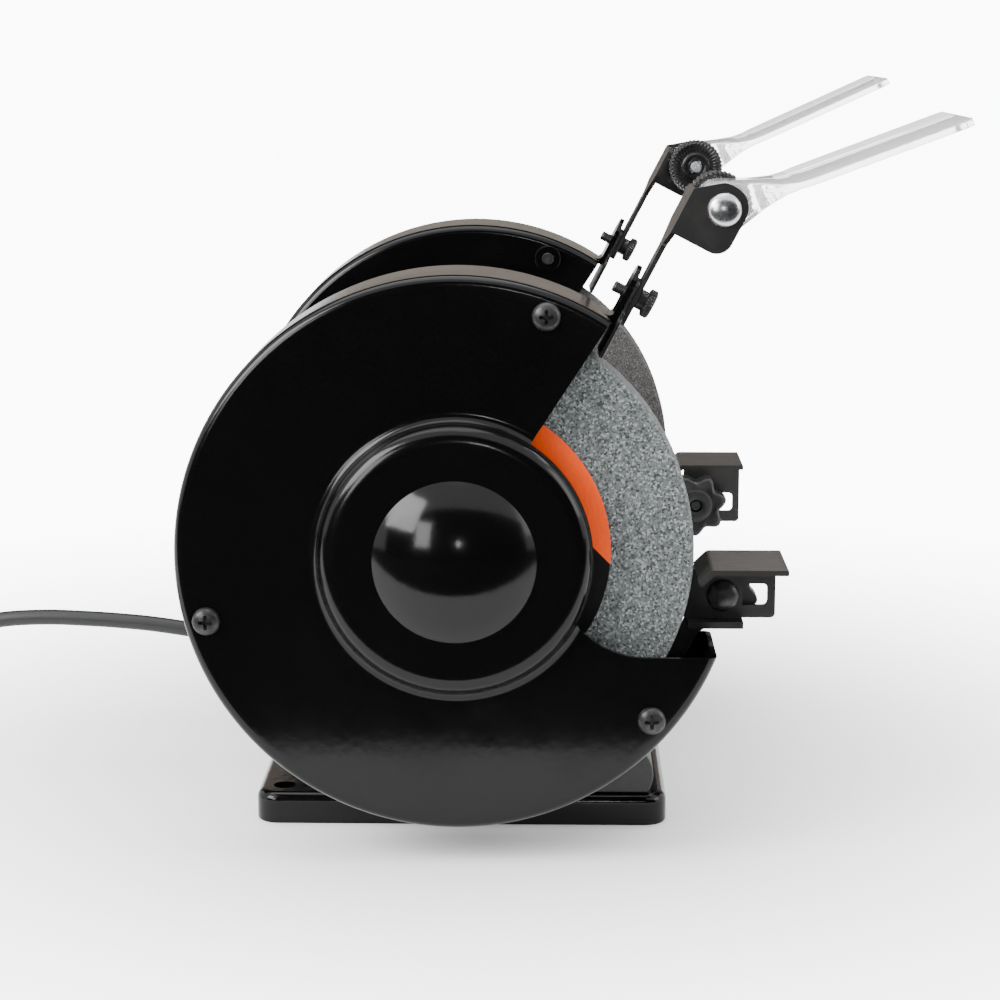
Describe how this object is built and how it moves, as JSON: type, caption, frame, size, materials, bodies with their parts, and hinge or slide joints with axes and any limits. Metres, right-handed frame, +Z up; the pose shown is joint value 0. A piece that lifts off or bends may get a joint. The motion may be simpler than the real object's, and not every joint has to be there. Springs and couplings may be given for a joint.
{
  "type": "bench grinder",
  "caption": "Double-ended bench grinder with stamped drum guards, adjustable tool rests, spark deflectors and tilting clear eye shields, on a flanged base with a supply cord.",
  "frame": {"origin": "centre of the base's underside", "axes": "+X along the shaft towards the fine wheel, -Y towards the operator, +Z up"},
  "size_m": [0.357, 0.6629, 0.326],
  "materials": {
    "black_gloss": "gloss black enamel",
    "black_satin": "satin black",
    "rest_steel": "dark satin, worn",
    "screw_steel": "dark blackened steel",
    "black_plastic": "matte moulded",
    "bare_steel": "turned",
    "zinc": "bright zinc plating",
    "aluminium": "cast",
    "copper": "enamelled wire",
    "coarse_grit": "coarse blue-grey grit",
    "fine_grit": "fine grey-brown grit",
    "paper": "printed paper",
    "clear_sheet": "clear polycarbonate",
    "red_plastic": "gloss moulded",
    "cord_rubber": "matte"
  },
  "bodies": {
    "frame": {"base_bottom_plate": "black_satin", "base_casting": "black_gloss", "bearing_left": "bare_steel", "bearing_right": "bare_steel", "capacitor": "aluminium", "cord": "cord_rubber", "cord_coil": "cord_rubber", "cover_screw_left_1": "screw_steel", "cover_screw_left_2": "screw_steel", "cover_screw_left_3": "screw_steel", "cover_screw_right_1": "screw_steel", "cover_screw_right_2": "screw_steel", "cover_screw_right_3": "screw_steel", "end_bell_left": "aluminium", "end_bell_right": "aluminium", "guard_cover_left": "black_gloss", "guard_cover_right": "black_gloss", "guard_housing_left": "black_gloss", "guard_housing_right": "black_gloss", "motor_shell": "black_gloss", "plug": "black_plastic", "rest_arm_left": "black_satin", "rest_arm_right": "black_satin", "rest_bolt_left": "black_satin", "rest_bolt_right": "black_satin", "stator_core": "bare_steel", "stator_winding": "copper", "strain_relief": "cord_rubber", "switch_housing": "black_plastic"},
    "rotor": {"shaft": "bare_steel", "rotor_core": "bare_steel", "flange_inner_left": "bare_steel", "wheel_left": "coarse_grit", "blotter_left": "paper", "flange_outer_left": "bare_steel", "arbor_nut_left": "bare_steel", "flange_inner_right": "bare_steel", "wheel_right": "fine_grit", "blotter_right": "paper", "flange_outer_right": "bare_steel", "arbor_nut_right": "bare_steel"},
    "tool_rest_left": {"tool_rest_left": "rest_steel"},
    "rest_knob_left": {"rest_knob_left": "black_plastic"},
    "spark_deflector_left": {"spark_deflector_left": "black_satin"},
    "shield_bracket_left": {"shield_bracket_left": "black_satin", "shield_bolt_left": "zinc"},
    "eye_shield_left": {"eye_shield_left": "clear_sheet"},
    "shield_knob_left": {"shield_knob_left": "black_plastic"},
    "clamp_bolt_left": {"clamp_bolt_left": "black_satin"},
    "tool_rest_right": {"tool_rest_right": "rest_steel"},
    "rest_knob_right": {"rest_knob_right": "black_plastic"},
    "spark_deflector_right": {"spark_deflector_right": "black_satin"},
    "shield_bracket_right": {"shield_bracket_right": "black_satin", "shield_bolt_right": "zinc"},
    "eye_shield_right": {"eye_shield_right": "clear_sheet"},
    "shield_knob_right": {"shield_knob_right": "black_plastic"},
    "clamp_bolt_right": {"clamp_bolt_right": "black_satin"},
    "switch_rocker": {"switch_rocker": "red_plastic"}
  },
  "joints": [
    {"name": "rotor_spin", "type": "hinge", "parent": "frame", "child": "rotor", "pos_m": [0, 0, 0.134], "axis": [1, 0, 0], "continuous": true},
    {"name": "tool_rest_slide_left", "type": "slide", "parent": "frame", "child": "tool_rest_left", "axis": [0, -1, 0], "range_m": [-0.001, 0.011]},
    {"name": "rest_knob_turn_left", "type": "hinge", "parent": "frame", "child": "rest_knob_left", "pos_m": [-0.1072, -0.1145, 0.1083], "axis": [1, 0, 0], "range_deg": [0, 360]},
    {"name": "deflector_slide_left", "type": "slide", "parent": "frame", "child": "spark_deflector_left", "axis": [0, -0.4617, 0.887], "range_m": [-0.0004, 0.006]},
    {"name": "bracket_slide_left", "type": "slide", "parent": "frame", "child": "shield_bracket_left", "axis": [0, -0.4617, 0.887], "range_m": [-0.009, 0.006]},
    {"name": "shield_tilt_left", "type": "hinge", "parent": "shield_bracket_left", "child": "eye_shield_left", "pos_m": [-0.12675, -0.11005, 0.27761], "axis": [1, 0, 0], "range_deg": [-50, 55]},
    {"name": "shield_knob_turn_left", "type": "hinge", "parent": "shield_bracket_left", "child": "shield_knob_left", "pos_m": [-0.101, -0.11005, 0.27761], "axis": [1, 0, 0], "range_deg": [0, 360]},
    {"name": "clamp_bolt_turn_left", "type": "hinge", "parent": "frame", "child": "clamp_bolt_left", "pos_m": [-0.13, -0.07712, 0.23883], "axis": [0, -0.887, -0.4617], "range_deg": [0, 360]},
    {"name": "tool_rest_slide_right", "type": "slide", "parent": "frame", "child": "tool_rest_right", "axis": [0, -1, 0], "range_m": [-0.001, 0.011]},
    {"name": "rest_knob_turn_right", "type": "hinge", "parent": "frame", "child": "rest_knob_right", "pos_m": [0.1072, -0.1145, 0.1083], "axis": [-1, 0, 0], "range_deg": [0, 360]},
    {"name": "deflector_slide_right", "type": "slide", "parent": "frame", "child": "spark_deflector_right", "axis": [0, -0.4617, 0.887], "range_m": [-0.0004, 0.006]},
    {"name": "bracket_slide_right", "type": "slide", "parent": "frame", "child": "shield_bracket_right", "axis": [0, -0.4617, 0.887], "range_m": [-0.0137, 0.0015]},
    {"name": "shield_tilt_right", "type": "hinge", "parent": "shield_bracket_right", "child": "eye_shield_right", "pos_m": [0.12675, -0.11217, 0.28169], "axis": [1, 0, 0], "range_deg": [-50, 55]},
    {"name": "shield_knob_turn_right", "type": "hinge", "parent": "shield_bracket_right", "child": "shield_knob_right", "pos_m": [0.101, -0.11217, 0.28169], "axis": [-1, 0, 0], "range_deg": [0, 360]},
    {"name": "clamp_bolt_turn_right", "type": "hinge", "parent": "frame", "child": "clamp_bolt_right", "pos_m": [0.13, -0.07712, 0.23883], "axis": [0, -0.887, -0.4617], "range_deg": [0, 360]},
    {"name": "rocker_tilt", "type": "hinge", "parent": "frame", "child": "switch_rocker", "pos_m": [0, -0.0714, 0.0429], "axis": [1, 0, 0], "range_deg": [-6, 6]}
  ]
}
